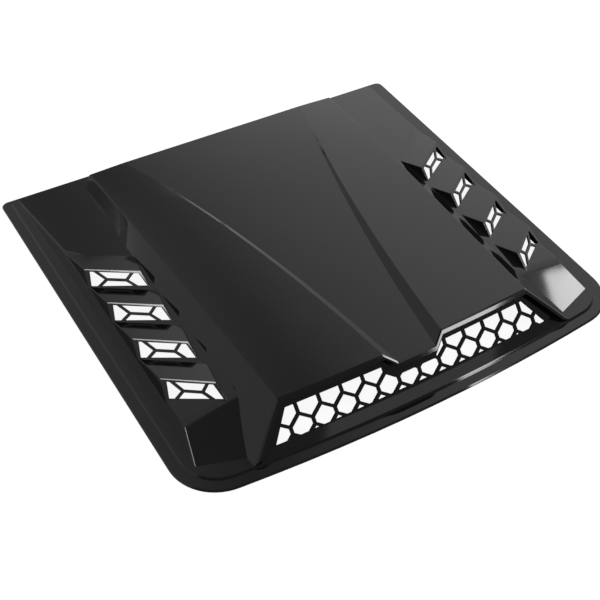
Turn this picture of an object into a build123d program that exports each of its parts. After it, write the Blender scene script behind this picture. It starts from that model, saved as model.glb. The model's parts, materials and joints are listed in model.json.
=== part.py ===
from build123d import *
import math
import os

# Bonnet vent: one thin moulded panel with a raked scoop and four louvres on each side.
#
# The panel lies on its rim with +Z up. X runs across the bonnet, and the open front of
# the scoop faces -Y. The origin is under the middle of the panel's length and width.
# All sizes are in millimetres.

# Rim that lies on the bonnet
panel_length = 557.0
back_width = 580.0
side_taper = 3.35
front_radius = 2170.0
front_arc = 14.0
front_corner_radius = 55.0
back_corner_radius = 9.0
wall = 2.5
scoop_wall = 3.5
rim_width = 12.0
rim_width_back = 5.0
rim_step = 2.5
rim_edge_chamfer = 1.2
rim_step_cove = 0.8

# Raised wings beside the scoop, which carry the louvres
wing_outer_margin = 21.5
wing_outer_height = 19.5
wing_cross_slope = 0.122
wing_rise_slope = 0.092
wing_wall_lean = 34.0
wing_fold_from_front = 91.0
wing_fall_slope = 0.357
wing_crest_round = 3.0
wing_fold_radius = 40.0
wing_inner_reach = 40.0
wing_crest_shortest_edge = 43.0

# Scoop in the middle
scoop_back_setback = 51.0
scoop_back_half_width = 177.6
scoop_front_half_width = 148.0
scoop_lip_from_front = 53.0
scoop_back_height = 34.0
scoop_front_height = 46.0
scoop_rise_sharpness = 2.6
scoop_crown = 5.0
scoop_wall_lean_back = 0.15
scoop_wall_lean_front = 1.15
scoop_wall_twist_length = 220.0
scoop_back_bevel = 5.0
scoop_back_bevel_drop = 1.5
scoop_back_wall_angle = 62.0
scoop_edge_round = 2.0
scoop_section_count = 8
scoop_section_first = 20.0
scoop_section_overrun = 13.0

# Valley that deepens towards the lip
valley_start_from_back = 130.0
valley_half_width_lip = 34.5
valley_flare = 0.1143
valley_flare_growth = 0.000204
valley_depth_lip = 8.5
valley_bank_width_lip = 11.0
valley_bank_width_back = 2.0

# Raked mouth and its honeycomb
mouth_rake = 1.0
mouth_bow = 0.0006
lip_from_front = 46.2
lip_chamfer = 1.2
lip_reference_height = 53.5
lip_lowest_edge = 20.0
grille_rake = 0.85
grille_thickness = 2.5
sill_height = 10.0
sill_from_front = 23.5
cell_pitch = 24.35
cell_peak = 9.4
cell_straight = 7.0
cell_bar = 3.5
cell_lowest_node = 0.0
cell_row_shift = 2.7
cell_row_sag = 2.7
cell_row_sag_half_span = 140.0
cell_columns = 7
cell_tall_straight = 30.0
cell_smallest_window = 5.0
grille_cut_reach = 14.0
grille_window_sill = 3.0
grille_window_half_width_sill = 163.0
grille_window_half_width_top = 142.0
grille_window_top = 31.7
grille_window_top_rise = 2.4
grille_window_valley_top = 17.8
grille_window_valley_half_width = 23.0
grille_window_valley_shoulder = 36.0

# Louvres, counted from the one nearest the back
louvre_count = 4
louvre_pitch = 64.1
louvre_first_lip_from_fold = 210.0
louvre_lip_yaw = 38.8
louvre_foot_yaw = 40.4
louvre_back_yaw = 41.8
louvre_back_run = 35.9
louvre_foot_run = 21.5
louvre_inner_x = 187.2
louvre_inner_taper = 0.017
louvre_inner_back_flare = 3.3
louvre_inner_lean = 1.6
louvre_outer_margin = 30.8
louvre_outer_lean = 4.1
louvre_inner_height = 10.2
louvre_outer_height = 12.0
louvre_bar = 3.1
louvre_bar_depth = 2.0
louvre_bar_setback = 0.4
louvre_floor_lip = 1.0
louvre_outer_jamb = 2.4
louvre_inner_jamb = 2.0
louvre_bar_share = 0.34
louvre_fork_share = 0.14
louvre_bar_root = 0.15
louvre_edge_round = 1.0
louvre_lip_band = 2.0
louvre_lip_band_share = 0.9
louvre_back_overlap = 15.0
louvre_window_top_inset = 2.9

# Values worked out from the driving dimensions
back_y = panel_length / 2
front_y = -panel_length / 2
taper_slope = math.tan(math.radians(side_taper))
raised_height = wall + rim_step
wing_fold_from_back = panel_length - wing_fold_from_front
scoop_lip_from_back = panel_length - scoop_lip_from_front
lip_reach = panel_length - lip_from_front
louvre_first_lip_from_back = wing_fold_from_back - louvre_first_lip_from_fold
front_centre_y = front_y + front_radius
block_reach = 2 * panel_length
tallest = 2 * lip_reference_height
touch_tolerance = 0.01
section_span = panel_length + scoop_section_overrun - scoop_section_first
section_step = section_span / (scoop_section_count - 1)
sections_from_back = [scoop_section_first + section_step * index for index in range(scoop_section_count)]


def side_half_width(from_back):
    """Half width of the rim's outer edge at a distance from the back edge."""
    return back_width / 2 - taper_slope * from_back


def panel_outline(inset, back_inset, back_corner):
    """Rim outline, drawn in by an inset on the sides and front and another at the back."""
    far = panel_length + front_corner_radius
    side_shift = inset / math.cos(math.radians(side_taper))
    back_half = side_half_width(back_inset) - side_shift
    far_half = side_half_width(far) - side_shift
    with BuildSketch() as outline:
        with BuildLine():
            Polyline(
                (-back_half, back_y - back_inset),
                (back_half, back_y - back_inset),
                (far_half, back_y - far),
                (-far_half, back_y - far),
                close=True,
            )
        make_face()
        with Locations((0, front_centre_y)):
            Circle(front_radius - inset, mode=Mode.INTERSECT)
        fillet(outline.vertices().group_by(Axis.Y)[0], front_corner_radius - inset)
        fillet(outline.vertices().group_by(Axis.Y)[-1], back_corner)
    return outline.sketch


def raised_outline():
    """Outline that keeps the wings and the scoop off the bevelled edge of the raised rim."""
    side_inset = rim_width + rim_edge_chamfer
    back_inset = rim_width_back + rim_edge_chamfer
    return panel_outline(side_inset, back_inset, back_corner_radius)


def outward_plane(first, second, third, inside):
    """Plane through three points, with its normal away from a point inside the body."""
    along = second - first
    normal = along.cross(third - first)
    if normal.dot(inside - first) > 0:
        normal = normal * -1
    return Plane(origin=first, x_dir=along, z_dir=normal)


def block_below(planes):
    """Convex solid that lies behind every plane of a list."""
    with BuildPart() as block:
        Box(block_reach, block_reach, block_reach)
        for plane in planes:
            split(bisect_by=plane, keep=Keep.BOTTOM)
    return block.part


def lies_on(edge, plane):
    """True for an edge with both ends on a plane."""
    return all(abs(plane.to_local_coords(edge @ end).Z) < touch_tolerance for end in (0, 1))


def floor_plane(z):
    """Level plane that faces down."""
    return Plane(origin=(0, 0, z), x_dir=(1, 0, 0), z_dir=(0, 0, -1))


def wing_height(x):
    """Height of the level part of a wing at a distance from the middle."""
    crest_x = side_half_width(wing_fold_from_back) - wing_outer_margin
    return wing_outer_height + wing_cross_slope * (crest_x - x)


def wing_planes():
    """Upper faces of the right wing: rise, level part, fall and outer wall."""
    fold_y = back_y - wing_fold_from_back
    rise_y = back_y - rim_width_back - rim_edge_chamfer
    near_x = scoop_front_half_width
    far_x = scoop_back_half_width
    run = wing_fold_from_back / 4
    inside = Vector((near_x + far_x) / 2, 0, 0)
    rise = outward_plane(
        Vector(near_x, rise_y, raised_height),
        Vector(far_x, rise_y, raised_height),
        Vector(near_x, rise_y - run, raised_height + run * wing_rise_slope),
        inside,
    )
    level = outward_plane(
        Vector(near_x, fold_y, wing_height(near_x)),
        Vector(far_x, fold_y, wing_height(far_x)),
        Vector(near_x, fold_y + run, wing_height(near_x)),
        inside,
    )
    fall = outward_plane(
        Vector(near_x, fold_y, wing_height(near_x)),
        Vector(far_x, fold_y, wing_height(far_x)),
        Vector(near_x, fold_y - run, wing_height(near_x) - run * wing_fall_slope),
        inside,
    )
    foot = Vector(side_half_width(0) - wing_outer_margin, back_y, raised_height)
    lean = math.tan(math.radians(wing_wall_lean))
    outer_wall = outward_plane(
        foot,
        foot + Vector(-lean * run, 0, run),
        foot + Vector(-taper_slope * run, -run, 0),
        inside,
    )
    return [rise, level, fall, outer_wall]


def wing_inner_side():
    """Upright plane under the scoop, where the right wing stops."""
    reach_x = scoop_front_half_width - wing_inner_reach
    return Plane(origin=(reach_x, 0, 0), x_dir=(0, 1, 0), z_dir=(-1, 0, 0))


def wing_level_underside():
    """Level part of the wing's top, as a plane that faces down."""
    level = wing_planes()[1]
    return Plane(origin=level.origin, x_dir=level.x_dir, z_dir=level.z_dir * -1)


def wing_body():
    """Right wing as a solid with a rounded outer crest."""
    planes = wing_planes()
    level, fall, outer_wall = planes[1:]
    back_side = Plane(origin=(0, back_y - rim_width_back, 0), x_dir=(1, 0, 0), z_dir=(0, 1, 0))
    with BuildPart() as wing:
        add(block_below(planes + [floor_plane(0), wing_inner_side(), back_side]))
        fold = [edge for edge in wing.edges() if lies_on(edge, level) and lies_on(edge, fall)]
        fillet(fold, wing_fold_radius)
        crest = [
            edge for edge in wing.edges()
            if lies_on(edge, outer_wall)
            and (edge @ 0.5).Z > raised_height
            and edge.length > wing_crest_shortest_edge
        ]
        fillet(crest, wing_crest_round)
        extrude(raised_outline(), amount=tallest, mode=Mode.INTERSECT)
    return wing.part


def wing_hollow():
    """Space under the right wing."""
    planes = [plane.offset(-wall) for plane in wing_planes()]
    planes += [floor_plane(0), wing_inner_side()]
    with BuildPart() as hollow:
        extrude(panel_outline(rim_width + wall, rim_width_back + wall, back_corner_radius), amount=tallest)
        add(block_below(planes), mode=Mode.INTERSECT)
    return hollow.part


def back_apron(inset):
    """Slope behind the scoop that joins the wings, or the space under it when an inset is given."""
    rise = wing_planes()[0].offset(-inset)
    edge_y = back_y - rim_width_back - rim_edge_chamfer - inset
    with BuildPart() as apron:
        add(block_below([rise, floor_plane(0)]))
        with BuildSketch():
            with Locations((0, edge_y)):
                Rectangle(2 * scoop_front_half_width, scoop_back_setback, align=(Align.CENTER, Align.MAX))
        extrude(amount=tallest, mode=Mode.INTERSECT)
    return apron.part


def louvre_corners(index):
    """Corners of one right louvre: back, lip and foot points, inner one first in each pair."""
    lip = louvre_first_lip_from_back + louvre_pitch * index
    inner_x = louvre_inner_x - louvre_inner_taper * louvre_pitch * index

    def outer_x(from_back):
        return side_half_width(from_back) - louvre_outer_margin

    def pair(inner_from_back, yaw, inner_shift, outer_shift, inner_lift, outer_lift):
        near = inner_x + inner_shift
        far = outer_x(inner_from_back - wing_outer_margin) + outer_shift
        outer_from_back = inner_from_back - math.tan(math.radians(yaw)) * (far - near)
        far = outer_x(outer_from_back) + outer_shift
        return (
            Vector(near, back_y - inner_from_back, wing_height(near) + inner_lift),
            Vector(far, back_y - outer_from_back, wing_height(far) + outer_lift),
        )

    back = pair(lip - louvre_back_run, louvre_back_yaw, -louvre_inner_back_flare, 0, 0, 0)
    top = pair(
        lip,
        louvre_lip_yaw,
        louvre_inner_lean,
        -louvre_outer_lean,
        louvre_inner_height,
        louvre_outer_height,
    )
    foot = pair(lip + louvre_foot_run, louvre_foot_yaw, 0, 0, 0, 0)
    return back, top, foot


def louvre_planes(index):
    """Faces of one right louvre: roof, inner side, outer side, raked front and the band along its lip."""
    back, top, foot = louvre_corners(index)
    inside = (back[0] + back[1] + foot[0] + foot[1]) / 4
    roof = outward_plane(top[0], top[1], (back[0] + back[1]) / 2, inside)
    inner = outward_plane(back[0], foot[0], top[0], inside)
    outer = outward_plane(back[1], foot[1], top[1], inside)
    front = outward_plane(top[0], top[1], (foot[0] + foot[1]) / 2, inside)
    down = (foot[0] + foot[1] - top[0] - top[1]).normalized() * louvre_lip_band
    tilt = roof.z_dir + (front.z_dir - roof.z_dir) * louvre_lip_band_share
    band = Plane(origin=top[0] + down, x_dir=top[1] - top[0], z_dir=tilt)
    return [roof, inner, outer, front, band]


def louvre_body(index):
    """One right louvre as a solid wedge with its edges rounded."""
    back, _, foot = louvre_corners(index)
    buried = [point + Vector(0, louvre_back_overlap, 0) for point in back]
    rear = outward_plane(buried[0], buried[1], buried[0] + Vector(0, 0, louvre_inner_height), foot[0])
    faces = louvre_planes(index)
    with BuildPart() as louvre:
        add(block_below(faces + [rear, floor_plane(0)]))

        def is_outside(edge):
            touching = [plane for plane in faces if lies_on(edge, plane)]
            return len(touching) == 2 and touching != faces[-2:]

        fillet(louvre.edges().filter_by(is_outside), louvre_edge_round)
    return louvre.part


def louvre_hollow(index):
    """Space under one right louvre, open through its front above the wing."""
    back, top, foot = louvre_corners(index)
    roof, _, _, front, _ = louvre_planes(index)
    along = (top[1] - top[0]).normalized() * louvre_window_top_inset
    inside = (back[0] + back[1] + foot[0] + foot[1]) / 4
    inner = outward_plane(back[0], foot[0], top[0] + along, inside)
    outer = outward_plane(back[1], foot[1], top[1] - along, inside)
    sides = [roof.offset(-wall), inner.offset(-louvre_inner_jamb), outer.offset(-louvre_outer_jamb)]
    with BuildPart() as hollow:
        add(block_below(sides + [front.offset(wall), wing_level_underside()]))
        add(block_below(sides + [front.offset(-louvre_floor_lip), floor_plane(0)]))
    return hollow.part


def louvre_grille(index):
    """Forked bars across one right louvre's opening."""
    _, top, foot = louvre_corners(index)
    roof, inner, outer, front, _ = louvre_planes(index)
    sheet = front.offset(-louvre_bar_setback)
    buried = [low + (low - high) * louvre_bar_root for low, high in zip(foot, top)]
    corners = [sheet.to_local_coords(point) for point in (top[0], top[1], buried[1], buried[0])]
    top_inner, top_outer, foot_outer, foot_inner = [Vector(point.X, point.Y, 0) for point in corners]
    forks = (
        (louvre_fork_share, louvre_bar_share),
        (1 - louvre_fork_share, 1 - louvre_bar_share),
    )
    limits = [roof.offset(-wall / 2), inner, outer, front, wing_level_underside().offset(wall)]

    def across(start, end, share):
        return start + (end - start) * share

    def middle(share):
        return (across(top_inner, top_outer, share) + across(foot_inner, foot_outer, share)) / 2

    with BuildPart() as bars:
        with BuildSketch(sheet):
            with BuildLine():
                Line(middle(louvre_bar_share), middle(1 - louvre_bar_share))
                for share, node in forks:
                    Line(across(top_inner, top_outer, share), middle(node))
                    Line(across(foot_inner, foot_outer, share), middle(node))
            trace(line_width=louvre_bar)
            with Locations(middle(louvre_bar_share), middle(1 - louvre_bar_share)):
                Circle(louvre_bar / 2)
        extrude(amount=-louvre_bar_depth)
        add(block_below(limits), mode=Mode.INTERSECT)
    return bars.part


def scoop_edge(from_back):
    """Half width and height of the scoop's upper side edge."""
    span = scoop_lip_from_back - scoop_back_setback
    share = (from_back - scoop_back_setback) / span
    half_width = scoop_back_half_width + (scoop_front_half_width - scoop_back_half_width) * share
    rise = 1 - math.exp(-scoop_rise_sharpness * share)
    full_rise = 1 - math.exp(-scoop_rise_sharpness)
    height = scoop_back_height + (scoop_front_height - scoop_back_height) * rise / full_rise
    return half_width, height


def scoop_wall_lean(from_back):
    """Outward run of the scoop's side wall for each millimetre of fall."""
    share = min(max((from_back - scoop_back_setback) / scoop_wall_twist_length, 0), 1)
    eased = share * share * (3 - 2 * share)
    return scoop_wall_lean_back + (scoop_wall_lean_front - scoop_wall_lean_back) * eased


def valley_edge(from_back):
    """Half width of the valley, the width of its bank and its depth."""
    to_lip = lip_reach - from_back
    half_width = valley_half_width_lip + valley_flare * to_lip + valley_flare_growth * to_lip ** 2
    share = max(from_back - valley_start_from_back, 0) / (lip_reach - valley_start_from_back)
    bank = valley_bank_width_back + (valley_bank_width_lip - valley_bank_width_back) * share
    return half_width, bank, valley_depth_lip * share


def scoop_section(from_back, inset):
    """Cross-section of the scoop, or of its hollow when an inset is given."""
    half_width, height = scoop_edge(from_back)
    lean = scoop_wall_lean(from_back)
    valley_half, bank, depth = valley_edge(from_back)
    top_z = height - inset
    top_x = half_width + lean * inset - inset * math.sqrt(1 + lean * lean)
    foot_z = -inset
    foot_x = top_x + lean * (top_z - foot_z)

    def crowned(x):
        return top_z + scoop_crown * (1 - (x / half_width) ** 2)

    bank_top = Vector(valley_half, crowned(valley_half))
    bank_foot = Vector(valley_half - bank, crowned(valley_half - bank) - depth)
    middle_x = (top_x + valley_half) / 2
    crown_point = Vector(middle_x, crowned(middle_x))
    top_corner = Vector(top_x, top_z)
    foot_corner = Vector(foot_x, foot_z)

    def mirrored(point):
        return Vector(-point.X, point.Y)

    with BuildSketch(Plane.XZ.offset(from_back - back_y)) as section:
        with BuildLine():
            Line(mirrored(foot_corner), mirrored(top_corner))
            ThreePointArc(mirrored(top_corner), mirrored(crown_point), mirrored(bank_top))
            Line(mirrored(bank_top), mirrored(bank_foot))
            Line(mirrored(bank_foot), bank_foot)
            Line(bank_foot, bank_top)
            ThreePointArc(bank_top, crown_point, top_corner)
            Line(top_corner, foot_corner)
            Line(foot_corner, mirrored(foot_corner))
        make_face()
    return section.sketch.face()


def scoop_loft(inset):
    """Scoop as a solid, or its hollow when an inset is given."""
    edge_y = back_y - scoop_back_setback
    bevel_y = edge_y + scoop_back_bevel
    edge_z = scoop_back_height + scoop_crown
    bevel_z = scoop_back_height - scoop_back_bevel_drop
    wall_fall = math.tan(math.radians(scoop_back_wall_angle))
    inside = Vector(0, 0, 0)
    run = scoop_back_setback
    back_wall = outward_plane(
        Vector(0, bevel_y, edge_z - scoop_back_bevel_drop),
        Vector(run, bevel_y, edge_z - scoop_back_bevel_drop),
        Vector(0, bevel_y + run, edge_z - scoop_back_bevel_drop - run * wall_fall),
        inside,
    )
    with BuildPart() as scoop:
        loft([scoop_section(from_back, inset) for from_back in sections_from_back])
        split(bisect_by=back_wall.offset(-inset), keep=Keep.BOTTOM)
    return scoop.part


def mouth_cutter():
    """Solid in front of the raked, bowed mouth."""
    reach = back_width / 2

    def front(x, z):
        return back_y - lip_reach - mouth_rake * (lip_reference_height - z) + mouth_bow * x * x

    with BuildPart() as cutter:
        for z in (0, tallest):
            with BuildSketch(Plane.XY.offset(z)):
                with BuildLine():
                    ThreePointArc((-reach, front(reach, z)), (0, front(0, z)), (reach, front(reach, z)))
                    Polyline(
                        (reach, front(reach, z)),
                        (reach, -panel_length),
                        (-reach, -panel_length),
                        (-reach, front(reach, z)),
                    )
                make_face()
        loft(ruled=True)
    return cutter.part


def front_ring(points):
    """Band that follows the bowed front, from points of (distance inside its edge, height)."""
    turn = math.radians(front_arc / 2)
    section = Plane(
        origin=(0, front_centre_y, 0),
        x_dir=(-math.sin(turn), -math.cos(turn), 0),
        z_dir=(-math.cos(turn), math.sin(turn), 0),
    )
    with BuildPart() as ring:
        with BuildSketch(section):
            with BuildLine():
                Polyline([(front_radius - inwards, z) for inwards, z in points], close=True)
            make_face()
        revolve(axis=Axis((0, front_centre_y, 0), (0, 0, 1)), revolution_arc=front_arc)
    return ring.part


def sill_points():
    """Section of the sill with the rim under it, from (distance inside the front edge, height)."""
    return [
        (-rim_width, raised_height),
        (rim_width + rim_edge_chamfer, raised_height),
        (sill_from_front, sill_height),
        (grille_inwards(sill_height - wall, grille_thickness), sill_height - wall),
        (rim_width + wall, raised_height - wall),
        (rim_width + wall, -tallest),
        (-rim_width, -tallest),
    ]


def grille_inwards(z, setback):
    """Distance inside the front edge of the grille's face at a height, behind it by a setback."""
    return sill_from_front + grille_rake * (z - sill_height) + setback * math.sqrt(1 + grille_rake ** 2)


def honeycomb_cell(x, lowest, straight):
    """Window of one honeycomb cell, whose rows sag towards the sides."""
    half = cell_pitch / 2
    outline = [
        (x, lowest),
        (x + half, lowest + cell_peak),
        (x + half, lowest + cell_peak + straight),
        (x, lowest + 2 * cell_peak + straight),
        (x - half, lowest + cell_peak + straight),
        (x - half, lowest + cell_peak),
    ]
    sagged = [(px, py - cell_row_sag * (px / cell_row_sag_half_span) ** 2) for px, py in outline]
    with BuildSketch() as cell:
        Polygon(*sagged, align=None)
        offset(amount=-cell_bar / 2, kind=Kind.INTERSECTION, mode=Mode.REPLACE)
    return cell.sketch


def honeycomb_windows():
    """Windows of the honeycomb inside the mouth's frame."""
    row_rise = cell_peak + cell_straight
    with BuildSketch() as windows:
        for column in range(-cell_columns, cell_columns + 1):
            x = column * cell_pitch + cell_row_shift
            add(honeycomb_cell(x, cell_lowest_node - row_rise, cell_straight))
            add(honeycomb_cell(x + cell_pitch / 2, cell_lowest_node, cell_straight))
            add(honeycomb_cell(x, cell_lowest_node + row_rise, cell_tall_straight))
        Polygon(
            (-grille_window_half_width_sill, grille_window_sill),
            (grille_window_half_width_sill, grille_window_sill),
            (grille_window_half_width_top, grille_window_top + grille_window_top_rise),
            (grille_window_valley_shoulder, grille_window_top),
            (grille_window_valley_half_width, grille_window_valley_top),
            (-grille_window_valley_half_width, grille_window_valley_top),
            (-grille_window_valley_shoulder, grille_window_top),
            (-grille_window_half_width_top, grille_window_top + grille_window_top_rise),
            align=None,
            mode=Mode.INTERSECT,
        )
    return [window for window in windows.faces() if window.area > cell_smallest_window]


def grille_plate():
    """Raked plate with its honeycomb, wider than the mouth."""
    face = Plane(
        origin=(0, front_y + sill_from_front, sill_height),
        x_dir=(1, 0, 0),
        z_dir=(0, -1, grille_rake),
    )
    with BuildPart() as grille:
        add(front_ring([
            (grille_inwards(sill_height - wall, 0), sill_height - wall),
            (grille_inwards(tallest, 0), tallest),
            (grille_inwards(tallest, grille_thickness), tallest),
            (grille_inwards(sill_height - wall, grille_thickness), sill_height - wall),
        ]))
        with BuildSketch(face):
            for window in honeycomb_windows():
                add(window)
        extrude(amount=grille_cut_reach, both=True, mode=Mode.SUBTRACT)
    return grille.part


def is_upper_scoop_edge(edge):
    """True for the scoop's upper side and back edges and for the corners of its back wall."""
    start, middle, end = edge @ 0, edge @ 0.5, edge @ 1
    behind = back_y - middle.Y < scoop_back_setback
    along_back = behind and min(start.Z, end.Z) > scoop_back_height - scoop_crown
    back_corner = behind and abs(start.Z - end.Z) > scoop_back_height / 2
    along_side = (
        edge.length > panel_length / 2
        and middle.Z > scoop_back_height
        and abs(middle.X) > scoop_front_half_width
    )
    return along_side or along_back or back_corner


def mouth_edges(edges, nearest, farthest, shortest):
    """Edges of the raked mouth with their middles between two distances from the panel's middle."""
    found = []
    for edge in edges:
        middle = edge @ 0.5
        at_mouth = middle.Y < back_y - lip_reach + scoop_back_setback and middle.Z > lip_lowest_edge
        if at_mouth and nearest <= abs(middle.X) < farthest and shortest < edge.length < panel_length / 2:
            found.append(edge)
    return found


def scoop_outer():
    """Scoop as a solid, cut back to its raked mouth and kept inside the rim."""
    with BuildPart() as scoop:
        add(scoop_loft(0))
        add(mouth_cutter(), mode=Mode.SUBTRACT)
        extrude(raised_outline(), amount=tallest, mode=Mode.INTERSECT)
        fillet(scoop.edges().filter_by(is_upper_scoop_edge), scoop_edge_round)
        bank_foot = valley_half_width_lip - valley_bank_width_lip
        chamfer(mouth_edges(scoop.edges(), valley_half_width_lip, back_width, 0), lip_chamfer)
        chamfer(mouth_edges(scoop.edges(), bank_foot, valley_half_width_lip, valley_depth_lip), lip_chamfer)
        chamfer(mouth_edges(scoop.edges(), 0, bank_foot, valley_depth_lip), lip_chamfer)
    return scoop.part


def scoop_hollow():
    """Space under the scoop and in its mouth, above the sill."""
    with BuildPart() as hollow:
        add(scoop_loft(scoop_wall))
        add(front_ring(sill_points()), mode=Mode.SUBTRACT)
        with BuildSketch(Plane.XY.offset(-wall)):
            Rectangle(block_reach, block_reach)
        extrude(amount=tallest, mode=Mode.INTERSECT)
    return hollow.part


os.makedirs("parts", exist_ok=True)

with BuildPart() as wing:
    add(wing_body())
    for index in range(louvre_count):
        add(louvre_body(index))

with BuildPart() as wing_space:
    add(wing_hollow())
    for index in range(louvre_count):
        add(louvre_hollow(index))

with BuildPart() as louvre_grilles:
    for index in range(louvre_count):
        add(louvre_grille(index))

scoop_solid = scoop_outer()

with BuildPart() as mouth_grille:
    add(grille_plate())
    add(scoop_solid, mode=Mode.INTERSECT)

with BuildPart() as sill:
    add(front_ring(sill_points()))
    add(scoop_solid, mode=Mode.INTERSECT)

with BuildPart() as rim:
    extrude(panel_outline(0, 0, back_corner_radius), amount=wall)
    chamfer(rim.edges().group_by(Axis.Z)[-1], rim_edge_chamfer)
    extrude(panel_outline(rim_width, rim_width_back, back_corner_radius), amount=raised_height)
    chamfer(rim.edges().group_by(Axis.Z)[-1], rim_edge_chamfer)
    shelf = rim.faces().filter_by(Axis.Z).group_by(Axis.Z)[1][0]
    chamfer(shelf.inner_wires()[0].edges(), rim_step_cove)

with BuildPart() as vent_panel:
    add(rim.part)
    add(back_apron(0))
    add(wing.part)
    add(wing.part.mirror(Plane.YZ))
    add(scoop_solid)
    extrude(
        panel_outline(rim_width + wall, rim_width_back + wall, back_corner_radius),
        amount=rim_step,
        mode=Mode.SUBTRACT,
    )
    add(back_apron(wall), mode=Mode.SUBTRACT)
    add(wing_space.part, mode=Mode.SUBTRACT)
    add(wing_space.part.mirror(Plane.YZ), mode=Mode.SUBTRACT)
    add(scoop_hollow(), mode=Mode.SUBTRACT)
    add(sill.part)
    add(mouth_grille.part)
    add(louvre_grilles.part)
    add(louvre_grilles.part.mirror(Plane.YZ))

vent_panel.part.label = "vent_panel"
export_step(vent_panel.part, "parts/vent_panel.step")
print("solids", len(vent_panel.solids()), "volume", vent_panel.part.volume)
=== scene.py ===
import json
import math

import bpy
from mathutils import Matrix, Vector

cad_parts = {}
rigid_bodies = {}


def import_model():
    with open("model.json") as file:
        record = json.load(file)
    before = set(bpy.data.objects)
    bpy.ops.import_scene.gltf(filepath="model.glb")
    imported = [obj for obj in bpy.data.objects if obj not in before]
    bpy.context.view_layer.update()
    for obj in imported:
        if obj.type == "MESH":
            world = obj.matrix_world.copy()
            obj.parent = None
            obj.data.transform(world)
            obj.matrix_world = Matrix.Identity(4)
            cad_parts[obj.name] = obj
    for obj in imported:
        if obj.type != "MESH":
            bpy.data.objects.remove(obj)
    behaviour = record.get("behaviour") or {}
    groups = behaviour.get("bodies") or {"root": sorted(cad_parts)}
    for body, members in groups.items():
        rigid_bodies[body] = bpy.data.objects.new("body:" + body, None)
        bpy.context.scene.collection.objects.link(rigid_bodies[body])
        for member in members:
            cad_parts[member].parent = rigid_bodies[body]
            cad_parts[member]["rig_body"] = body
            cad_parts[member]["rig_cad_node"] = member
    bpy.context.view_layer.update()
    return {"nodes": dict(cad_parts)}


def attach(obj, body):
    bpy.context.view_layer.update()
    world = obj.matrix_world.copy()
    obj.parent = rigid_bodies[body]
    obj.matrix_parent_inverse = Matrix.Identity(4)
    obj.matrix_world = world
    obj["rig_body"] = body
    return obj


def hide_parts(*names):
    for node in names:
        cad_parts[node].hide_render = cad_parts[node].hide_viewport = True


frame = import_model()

# Looks of the bonnet vent: one gloss black moulded panel on a white table.
# Lengths are in metres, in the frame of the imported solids.

bl_info = {
    "name": "Bonnet vent",
    "version": (1, 0, 0),
    "blender": (4, 5, 0),
    "location": "View3D > Sidebar > Bonnet vent",
    "description": "Finishes the gloss black bonnet vent and sets up its studio",
    "category": "Object",
}

ROOT_BODY = "root"
PANEL_NODE = "vent_panel"

# Shading of the panel's mesh
MERGE_DISTANCE = 0.00001
FLAT_ANGLE = math.radians(0.1)
SHARP_ANGLE = math.radians(11.5)
LARGE_FACES_LEAD = 100

# Moulded skin
PLASTIC_IOR = 1.5
HAZE_SCALE = 9.0
HAZE_DETAIL = 3.0
HAZE_ROUGHNESS = 0.55
HAZE_RANGE = (0.35, 0.75)
WAVE_DETAIL = 1.0
WAVE_ROUGHNESS = 0.4

# Table, as the camera sees it
TABLE_DROP = 0.0004
PAPER_GLOW = 0.92
PAPER_GREY = (0.16, 0.16, 0.16, 1.0)
WHITE = (1.0, 1.0, 1.0, 1.0)

# Room that the gloss mirrors: each side's direction, and the cosines where its glow starts and is full
BRIGHT_SIDE = (0.80, 0.50, 0.33)
BRIGHT_EDGES = (0.66, 0.93)
PALE_SIDE = (-0.60, 0.50, 0.62)
PALE_EDGES = (0.64, 0.75)

# Soft lights: name, point of the panel that it faces, direction towards it, width and height
LIGHT_DISTANCE = 1.8
KEY_LIGHTS = (
    ("front_light", (0.10, -0.235, 0.045), (0.598, -0.607, 0.53), 0.80, 0.34),
    ("left_light", (-0.20, -0.10, 0.03), (-0.52, -0.04, 0.85), 0.72, 0.34),
    ("right_light", (0.215, -0.205, 0.02), (0.817, -0.097, 0.568), 0.46, 0.60),
)
FILL_LIGHT = ("fill_light", (0.0, -0.24, 0.01), (0.42, -0.22, 0.88), 0.90, 0.60)

CAMERA_SENSOR = 36.0


class VentFinishSettings(bpy.types.PropertyGroup):
    """Finish of the moulded panel."""

    plastic_colour: bpy.props.FloatVectorProperty(
        name="Plastic colour",
        description="Colour of the black plastic under its gloss",
        subtype="COLOR",
        size=3,
        min=0.0,
        max=1.0,
        default=(0.0045, 0.0045, 0.005),
    )
    gloss_roughness: bpy.props.FloatProperty(
        name="Gloss roughness",
        description="Roughness of the cleanest parts of the skin",
        min=0.0,
        max=1.0,
        default=0.05,
    )
    haze_roughness: bpy.props.FloatProperty(
        name="Haze roughness",
        description="Roughness where the skin is slightly hazy",
        min=0.0,
        max=1.0,
        default=0.10,
    )
    peel_size: bpy.props.FloatProperty(
        name="Peel size",
        description="Size of the slow waves in the moulded skin",
        subtype="DISTANCE",
        unit="LENGTH",
        min=0.001,
        default=0.045,
    )
    peel_depth: bpy.props.FloatProperty(
        name="Peel depth",
        description="Depth of the slow waves in the moulded skin",
        subtype="DISTANCE",
        unit="LENGTH",
        min=0.0,
        default=0.00006,
    )


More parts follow.
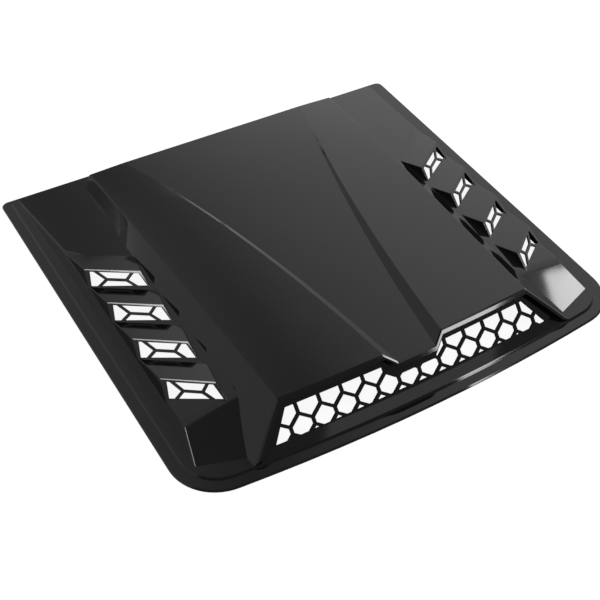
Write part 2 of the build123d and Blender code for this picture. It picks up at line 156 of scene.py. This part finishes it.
class VentStageSettings(bpy.types.PropertyGroup):
    """White table, lights and camera."""

    table_size: bpy.props.FloatProperty(
        name="Table size",
        description="Width of the square table",
        subtype="DISTANCE",
        unit="LENGTH",
        min=1.0,
        default=8.0,
    )
    table_colour: bpy.props.FloatVectorProperty(
        name="Table colour",
        description="Colour of the table in the gloss and in its own light",
        subtype="COLOR",
        size=3,
        min=0.0,
        max=1.0,
        default=(0.30, 0.30, 0.30),
    )
    lamp_level: bpy.props.FloatProperty(
        name="Lamp level",
        description="Brightness of the soft lights' faces",
        min=0.0,
        default=12.0,
    )
    fill_level: bpy.props.FloatProperty(
        name="Fill level",
        description="Brightness of the large light above the front",
        min=0.0,
        default=0.6,
    )
    room_bright: bpy.props.FloatProperty(
        name="Bright side of the room",
        description="Brightness of the room behind the panel",
        min=0.0,
        default=1.2,
    )
    room_pale: bpy.props.FloatProperty(
        name="Pale side of the room",
        description="Brightness added on the left of the panel",
        min=0.0,
        default=0.45,
    )
    room_dim: bpy.props.FloatProperty(
        name="Dim side of the room",
        description="Brightness of the room behind the camera",
        min=0.0,
        default=0.22,
    )
    camera_position: bpy.props.FloatVectorProperty(
        name="Camera position",
        description="Place of the camera",
        subtype="TRANSLATION",
        unit="LENGTH",
        size=3,
        default=(-0.3655, -0.7119, 0.6790),
    )
    camera_azimuth: bpy.props.FloatProperty(
        name="Camera azimuth",
        description="Turn of the camera round the panel",
        subtype="ANGLE",
        unit="ROTATION",
        default=math.radians(-26.972),
    )
    camera_elevation: bpy.props.FloatProperty(
        name="Camera elevation",
        description="Angle at which the camera looks down",
        subtype="ANGLE",
        unit="ROTATION",
        default=math.radians(43.611),
    )
    camera_roll: bpy.props.FloatProperty(
        name="Camera roll",
        description="Tilt of the camera about its own axis",
        subtype="ANGLE",
        unit="ROTATION",
        default=math.radians(-2.766),
    )
    camera_lens: bpy.props.FloatProperty(
        name="Camera lens",
        description="Focal length in millimetres on a 36 mm sensor",
        min=10.0,
        default=52.377,
    )


def deselect_all():
    """Clears the selection, so that the next operator acts on one object."""
    bpy.ops.object.select_all(action="DESELECT")


def new_material(name):
    """Material with an empty node tree."""
    material = bpy.data.materials.new(name)
    material.use_nodes = True
    material.node_tree.nodes.clear()
    return material


def add_node(tree, kind, place, **values):
    """Shader node with its unlinked inputs set by name."""
    node = tree.nodes.new(kind)
    node.location = place
    for name, value in values.items():
        node.inputs[name.replace("_", " ")].default_value = value
    return node


def skin_group():
    """Node group for a moulded skin: roughness and a normal with slow waves."""
    group = bpy.data.node_groups.new("moulded_skin", "ShaderNodeTree")
    sockets = group.interface
    for name, kind in (
        ("Clean Roughness", "NodeSocketFloat"),
        ("Hazy Roughness", "NodeSocketFloat"),
        ("Wave Scale", "NodeSocketFloat"),
        ("Wave Depth", "NodeSocketFloat"),
    ):
        sockets.new_socket(name=name, in_out="INPUT", socket_type=kind)
    sockets.new_socket(name="Roughness", in_out="OUTPUT", socket_type="NodeSocketFloat")
    sockets.new_socket(name="Normal", in_out="OUTPUT", socket_type="NodeSocketVector")
    start = group.nodes.new("NodeGroupInput")
    start.location = (-900, 0)
    end = group.nodes.new("NodeGroupOutput")
    end.location = (500, 0)
    place = group.nodes.new("ShaderNodeTexCoord")
    place.location = (-900, -300)
    haze = add_node(
        group,
        "ShaderNodeTexNoise",
        (-500, 250),
        Scale=HAZE_SCALE,
        Detail=HAZE_DETAIL,
        Roughness=HAZE_ROUGHNESS,
    )
    mix = group.nodes.new("ShaderNodeMapRange")
    mix.location = (-150, 250)
    mix.inputs["From Min"].default_value = HAZE_RANGE[0]
    mix.inputs["From Max"].default_value = HAZE_RANGE[1]
    waves = add_node(
        group,
        "ShaderNodeTexNoise",
        (-500, -200),
        Detail=WAVE_DETAIL,
        Roughness=WAVE_ROUGHNESS,
    )
    bump = add_node(group, "ShaderNodeBump", (150, -200), Strength=1.0)
    links = group.links
    links.new(place.outputs["Object"], haze.inputs["Vector"])
    links.new(place.outputs["Object"], waves.inputs["Vector"])
    links.new(start.outputs["Wave Scale"], waves.inputs["Scale"])
    links.new(haze.outputs["Fac"], mix.inputs["Value"])
    links.new(start.outputs["Clean Roughness"], mix.inputs["To Min"])
    links.new(start.outputs["Hazy Roughness"], mix.inputs["To Max"])
    links.new(mix.outputs["Result"], end.inputs["Roughness"])
    links.new(waves.outputs["Fac"], bump.inputs["Height"])
    links.new(start.outputs["Wave Depth"], bump.inputs["Distance"])
    links.new(bump.outputs["Normal"], end.inputs["Normal"])
    return group


def gloss_black_plastic(settings):
    """Gloss black moulded plastic."""
    material = new_material("gloss_black_plastic")
    tree = material.node_tree
    skin = tree.nodes.new("ShaderNodeGroup")
    skin.location = (-400, 0)
    skin.node_tree = skin_group()
    skin.inputs["Clean Roughness"].default_value = settings.gloss_roughness
    skin.inputs["Hazy Roughness"].default_value = settings.haze_roughness
    skin.inputs["Wave Scale"].default_value = 1.0 / settings.peel_size
    skin.inputs["Wave Depth"].default_value = settings.peel_depth
    shader = add_node(tree, "ShaderNodeBsdfPrincipled", (0, 0), IOR=PLASTIC_IOR)
    shader.inputs["Base Color"].default_value = (*settings.plastic_colour, 1.0)
    output = tree.nodes.new("ShaderNodeOutputMaterial")
    output.location = (350, 0)
    tree.links.new(skin.outputs["Roughness"], shader.inputs["Roughness"])
    tree.links.new(skin.outputs["Normal"], shader.inputs["Normal"])
    tree.links.new(shader.outputs["BSDF"], output.inputs["Surface"])
    return material


def table_material(settings):
    """White table that the camera sees as paper, with a soft shadow."""
    material = new_material("white_table")
    tree = material.node_tree
    path = tree.nodes.new("ShaderNodeLightPath")
    path.location = (-700, 200)
    paper = add_node(tree, "ShaderNodeBsdfDiffuse", (-300, -150))
    paper.inputs["Color"].default_value = (*settings.table_colour, 1.0)
    seen_paper = add_node(tree, "ShaderNodeBsdfDiffuse", (-300, 50), Color=PAPER_GREY)
    glow = add_node(tree, "ShaderNodeEmission", (-300, 250), Color=WHITE, Strength=PAPER_GLOW)
    seen = tree.nodes.new("ShaderNodeAddShader")
    seen.location = (0, 150)
    mix = tree.nodes.new("ShaderNodeMixShader")
    mix.location = (250, 0)
    output = tree.nodes.new("ShaderNodeOutputMaterial")
    output.location = (500, 0)
    links = tree.links
    links.new(glow.outputs["Emission"], seen.inputs[0])
    links.new(seen_paper.outputs["BSDF"], seen.inputs[1])
    links.new(path.outputs["Is Camera Ray"], mix.inputs["Fac"])
    links.new(paper.outputs["BSDF"], mix.inputs[1])
    links.new(seen.outputs["Shader"], mix.inputs[2])
    links.new(mix.outputs["Shader"], output.inputs["Surface"])
    return material


def side_glow(tree, direction, side, edges, level, place):
    """Glow on one side of the room: a smooth rise between two edges of the angle's cosine."""
    towards = tree.nodes.new("ShaderNodeVectorMath")
    towards.operation = "DOT_PRODUCT"
    towards.location = (place[0] - 250, place[1])
    towards.inputs[1].default_value = side
    glow = add_node(tree, "ShaderNodeMapRange", place)
    glow.interpolation_type = "SMOOTHSTEP"
    glow.inputs["From Min"].default_value = edges[0]
    glow.inputs["From Max"].default_value = edges[1]
    glow.inputs["To Max"].default_value = level
    tree.links.new(direction.outputs["Generated"], towards.inputs[0])
    tree.links.new(towards.outputs["Value"], glow.inputs["Value"])
    return glow


def white_room(settings):
    """World that is white to the camera, and a room that is bright behind the panel to the gloss."""
    world = bpy.data.worlds.new("white_room")
    bpy.context.scene.world = world
    world.use_nodes = True
    tree = world.node_tree
    tree.nodes.clear()
    path = tree.nodes.new("ShaderNodeLightPath")
    path.location = (-500, 350)
    direction = tree.nodes.new("ShaderNodeTexCoord")
    direction.location = (-900, -100)
    bright = side_glow(tree, direction, BRIGHT_SIDE, BRIGHT_EDGES, settings.room_bright, (-650, 0))
    pale = side_glow(tree, direction, PALE_SIDE, PALE_EDGES, settings.room_pale, (-650, -300))
    bright.inputs["To Min"].default_value = settings.room_dim
    level = tree.nodes.new("ShaderNodeMath")
    level.operation = "ADD"
    level.location = (-400, -100)
    room = tree.nodes.new("ShaderNodeBackground")
    room.location = (-200, -100)
    backdrop = add_node(tree, "ShaderNodeBackground", (-200, 100), Strength=1.0)
    backdrop.inputs["Color"].default_value = WHITE
    mix = tree.nodes.new("ShaderNodeMixShader")
    mix.location = (100, 0)
    output = tree.nodes.new("ShaderNodeOutputWorld")
    output.location = (350, 0)
    links = tree.links
    links.new(bright.outputs["Result"], level.inputs[0])
    links.new(pale.outputs["Result"], level.inputs[1])
    links.new(level.outputs["Value"], room.inputs["Strength"])
    links.new(path.outputs["Is Camera Ray"], mix.inputs["Fac"])
    links.new(room.outputs["Background"], mix.inputs[1])
    links.new(backdrop.outputs["Background"], mix.inputs[2])
    links.new(mix.outputs["Shader"], output.inputs["Surface"])


def soft_light(name, target, direction, width, height, level):
    """Rectangular soft light that faces a point of the panel, with a face of a given brightness."""
    turn = Vector(direction).normalized()
    bpy.ops.object.light_add(type="AREA", location=Vector(target) + turn * LIGHT_DISTANCE)
    light = bpy.context.object
    light.name = name
    light.data.shape = "RECTANGLE"
    light.data.size = width
    light.data.size_y = height
    light.data.energy = level * math.pi * width * height
    light.rotation_euler = turn.to_track_quat("Z", "Y").to_euler()
    return light


def camera_turn(azimuth, elevation, roll):
    """Rotation of a camera that looks down at the panel from an azimuth."""
    back = Vector((
        math.sin(azimuth) * math.cos(elevation),
        -math.cos(azimuth) * math.cos(elevation),
        math.sin(elevation),
    ))
    level = Vector((math.cos(azimuth), math.sin(azimuth), 0.0))
    upright = back.cross(level)
    across = math.cos(roll) * level + math.sin(roll) * upright
    upwards = math.cos(roll) * upright - math.sin(roll) * level
    return Matrix((across, upwards, back)).transposed().to_quaternion()


def merged_copy(node, name):
    """Copy of a solid's mesh with its points merged, shaded smooth across its rounds only."""
    deselect_all()
    node.select_set(True)
    bpy.context.view_layer.objects.active = node
    bpy.ops.object.duplicate()
    piece = bpy.context.object
    piece.name = name
    piece.data.name = name
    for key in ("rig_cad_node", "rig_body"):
        del piece[key]
    piece.parent = None
    bpy.ops.object.mode_set(mode="EDIT")
    bpy.ops.mesh.select_all(action="SELECT")
    bpy.ops.mesh.remove_doubles(threshold=MERGE_DISTANCE)
    bpy.ops.mesh.customdata_custom_splitnormals_clear()
    bpy.ops.mesh.dissolve_limited(angle_limit=FLAT_ANGLE)
    bpy.ops.object.mode_set(mode="OBJECT")
    bpy.ops.object.shade_smooth_by_angle(angle=SHARP_ANGLE)
    flats = piece.modifiers.new("flat_faces", "WEIGHTED_NORMAL")
    flats.mode = "FACE_AREA"
    flats.weight = LARGE_FACES_LEAD
    flats.keep_sharp = True
    bpy.ops.object.modifier_apply(modifier=flats.name)
    return piece


class VENT_OT_finish_panel(bpy.types.Operator):
    """Give the moulded panel its gloss black finish"""

    bl_idname = "vent.finish_panel"
    bl_label = "Finish panel"

    def execute(self, context):
        settings = context.scene.vent_finish
        panel = merged_copy(frame["nodes"][PANEL_NODE], "moulded_panel")
        panel.data.materials.clear()
        panel.data.materials.append(gloss_black_plastic(settings))
        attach(panel, ROOT_BODY)
        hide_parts(PANEL_NODE)
        return {"FINISHED"}


class VENT_OT_build_stage(bpy.types.Operator):
    """Build the white table, its lights and the camera"""

    bl_idname = "vent.build_stage"
    bl_label = "Build stage"

    def execute(self, context):
        settings = context.scene.vent_stage
        deselect_all()
        bpy.ops.mesh.primitive_plane_add(size=settings.table_size, location=(0.0, 0.0, -TABLE_DROP))
        table = context.object
        table.name = "table"
        table.data.materials.append(table_material(settings))
        white_room(settings)
        for light in KEY_LIGHTS:
            soft_light(*light, settings.lamp_level)
        soft_light(*FILL_LIGHT, settings.fill_level)
        bpy.ops.object.camera_add(location=settings.camera_position)
        camera = context.object
        camera.name = "camera"
        camera.rotation_mode = "QUATERNION"
        camera.rotation_quaternion = camera_turn(
            settings.camera_azimuth, settings.camera_elevation, settings.camera_roll
        )
        camera.data.sensor_width = CAMERA_SENSOR
        camera.data.lens = settings.camera_lens
        context.scene.camera = camera
        context.scene.view_settings.view_transform = "Standard"
        return {"FINISHED"}


class VENT_PT_sidebar(bpy.types.Panel):
    """Lists the vent's operators and settings"""

    bl_idname = "VENT_PT_sidebar"
    bl_label = "Bonnet vent"
    bl_space_type = "VIEW_3D"
    bl_region_type = "UI"
    bl_category = "Bonnet vent"

    def draw(self, context):
        layout = self.layout
        for owner in (context.scene.vent_finish, context.scene.vent_stage):
            for name in owner.bl_rna.properties.keys():
                if name not in {"rna_type", "name"}:
                    layout.prop(owner, name)
        layout.operator(VENT_OT_finish_panel.bl_idname)
        layout.operator(VENT_OT_build_stage.bl_idname)


CLASSES = (
    VentFinishSettings,
    VentStageSettings,
    VENT_OT_finish_panel,
    VENT_OT_build_stage,
    VENT_PT_sidebar,
)


def register():
    for cls in CLASSES:
        bpy.utils.register_class(cls)
    bpy.types.Scene.vent_finish = bpy.props.PointerProperty(type=VentFinishSettings)
    bpy.types.Scene.vent_stage = bpy.props.PointerProperty(type=VentStageSettings)


def unregister():
    del bpy.types.Scene.vent_stage
    del bpy.types.Scene.vent_finish
    for cls in reversed(CLASSES):
        bpy.utils.unregister_class(cls)


def main():
    register()
    bpy.ops.vent.finish_panel()
    bpy.ops.vent.build_stage()


if __name__ == "__main__":
    main()
